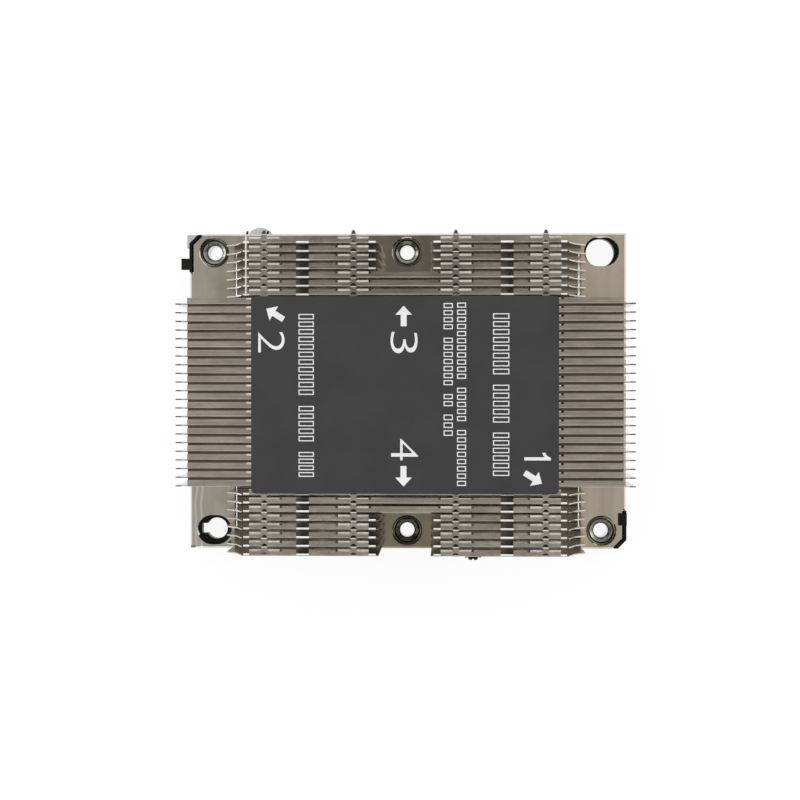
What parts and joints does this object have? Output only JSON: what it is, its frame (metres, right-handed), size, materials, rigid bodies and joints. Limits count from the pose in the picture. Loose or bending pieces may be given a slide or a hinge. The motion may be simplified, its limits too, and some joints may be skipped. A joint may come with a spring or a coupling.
{
  "type": "passive server cpu heatsink",
  "caption": "Passive heatsink for a one-unit server processor: plated base plate, stacked folded fins and numbered captive nuts.",
  "frame": {"origin": "middle of the plate's underside, the face that meets the processor", "axes": "+X along the fins (right in the picture), +Y across them (up in the picture), +Z away from the processor"},
  "size_m": [0.1104, 0.0837, 0.0287],
  "materials": {
    "base_plate": "nickel plated, satin",
    "fin_plate": "nickel plated, drawn sheet",
    "nut_steel": "zinc plated, turned",
    "ring_steel": "spring steel",
    "label_film": "printed film",
    "carrier_plastic": "moulded black",
    "cover_plastic": "clear film, formed",
    "paste": "grey paste"
  },
  "bodies": {
    "heatsink": {"base_plate": "base_plate", "carrier_frame": "carrier_plastic", "fin_01_left": "fin_plate", "fin_01_right": "fin_plate", "fin_02_left": "fin_plate", "fin_02_right": "fin_plate", "fin_03_left": "fin_plate", "fin_03_right": "fin_plate", "fin_04_left": "fin_plate", "fin_04_right": "fin_plate", "fin_05": "fin_plate", "fin_06": "fin_plate", "fin_07": "fin_plate", "fin_08": "fin_plate", "fin_09": "fin_plate", "fin_10": "fin_plate", "fin_11": "fin_plate", "fin_12": "fin_plate", "fin_13": "fin_plate", "fin_14": "fin_plate", "fin_15": "fin_plate", "fin_16": "fin_plate", "fin_17": "fin_plate", "fin_18": "fin_plate", "fin_19": "fin_plate", "fin_20": "fin_plate", "fin_21": "fin_plate", "fin_22": "fin_plate", "fin_23": "fin_plate", "fin_24": "fin_plate", "fin_25": "fin_plate", "fin_26": "fin_plate", "fin_27": "fin_plate", "fin_28": "fin_plate", "fin_29": "fin_plate", "fin_30": "fin_plate", "fin_31": "fin_plate", "fin_32": "fin_plate", "fin_33_left": "fin_plate", "fin_33_right": "fin_plate", "fin_34_left": "fin_plate", "fin_34_right": "fin_plate", "fin_35_left": "fin_plate", "fin_35_right": "fin_plate", "fin_36_left": "fin_plate", "fin_36_right": "fin_plate", "fin_37_left": "fin_plate", "fin_37_right": "fin_plate", "label": "label_film", "paste_cover": "cover_plastic", "thermal_paste": "paste"},
    "nut_1": {"captive_nut_1": "nut_steel", "retaining_ring_1": "ring_steel"},
    "nut_2": {"captive_nut_2": "nut_steel", "retaining_ring_2": "ring_steel"},
    "nut_3": {"captive_nut_3": "nut_steel", "retaining_ring_3": "ring_steel"},
    "nut_4": {"captive_nut_4": "nut_steel", "retaining_ring_4": "ring_steel"}
  },
  "joints": [
    {"name": "nut_1_turn", "type": "hinge", "parent": "heatsink", "child": "nut_1", "pos_m": [0.048, -0.0345, 0], "axis": [0, 0, 1], "continuous": true},
    {"name": "nut_2_turn", "type": "hinge", "parent": "heatsink", "child": "nut_2", "pos_m": [-0.048, 0.0345, 0], "axis": [0, 0, 1], "continuous": true},
    {"name": "nut_3_turn", "type": "hinge", "parent": "heatsink", "child": "nut_3", "pos_m": [0, 0.0345, 0], "axis": [0, 0, 1], "continuous": true},
    {"name": "nut_4_turn", "type": "hinge", "parent": "heatsink", "child": "nut_4", "pos_m": [0, -0.0345, 0], "axis": [0, 0, 1], "continuous": true}
  ]
}
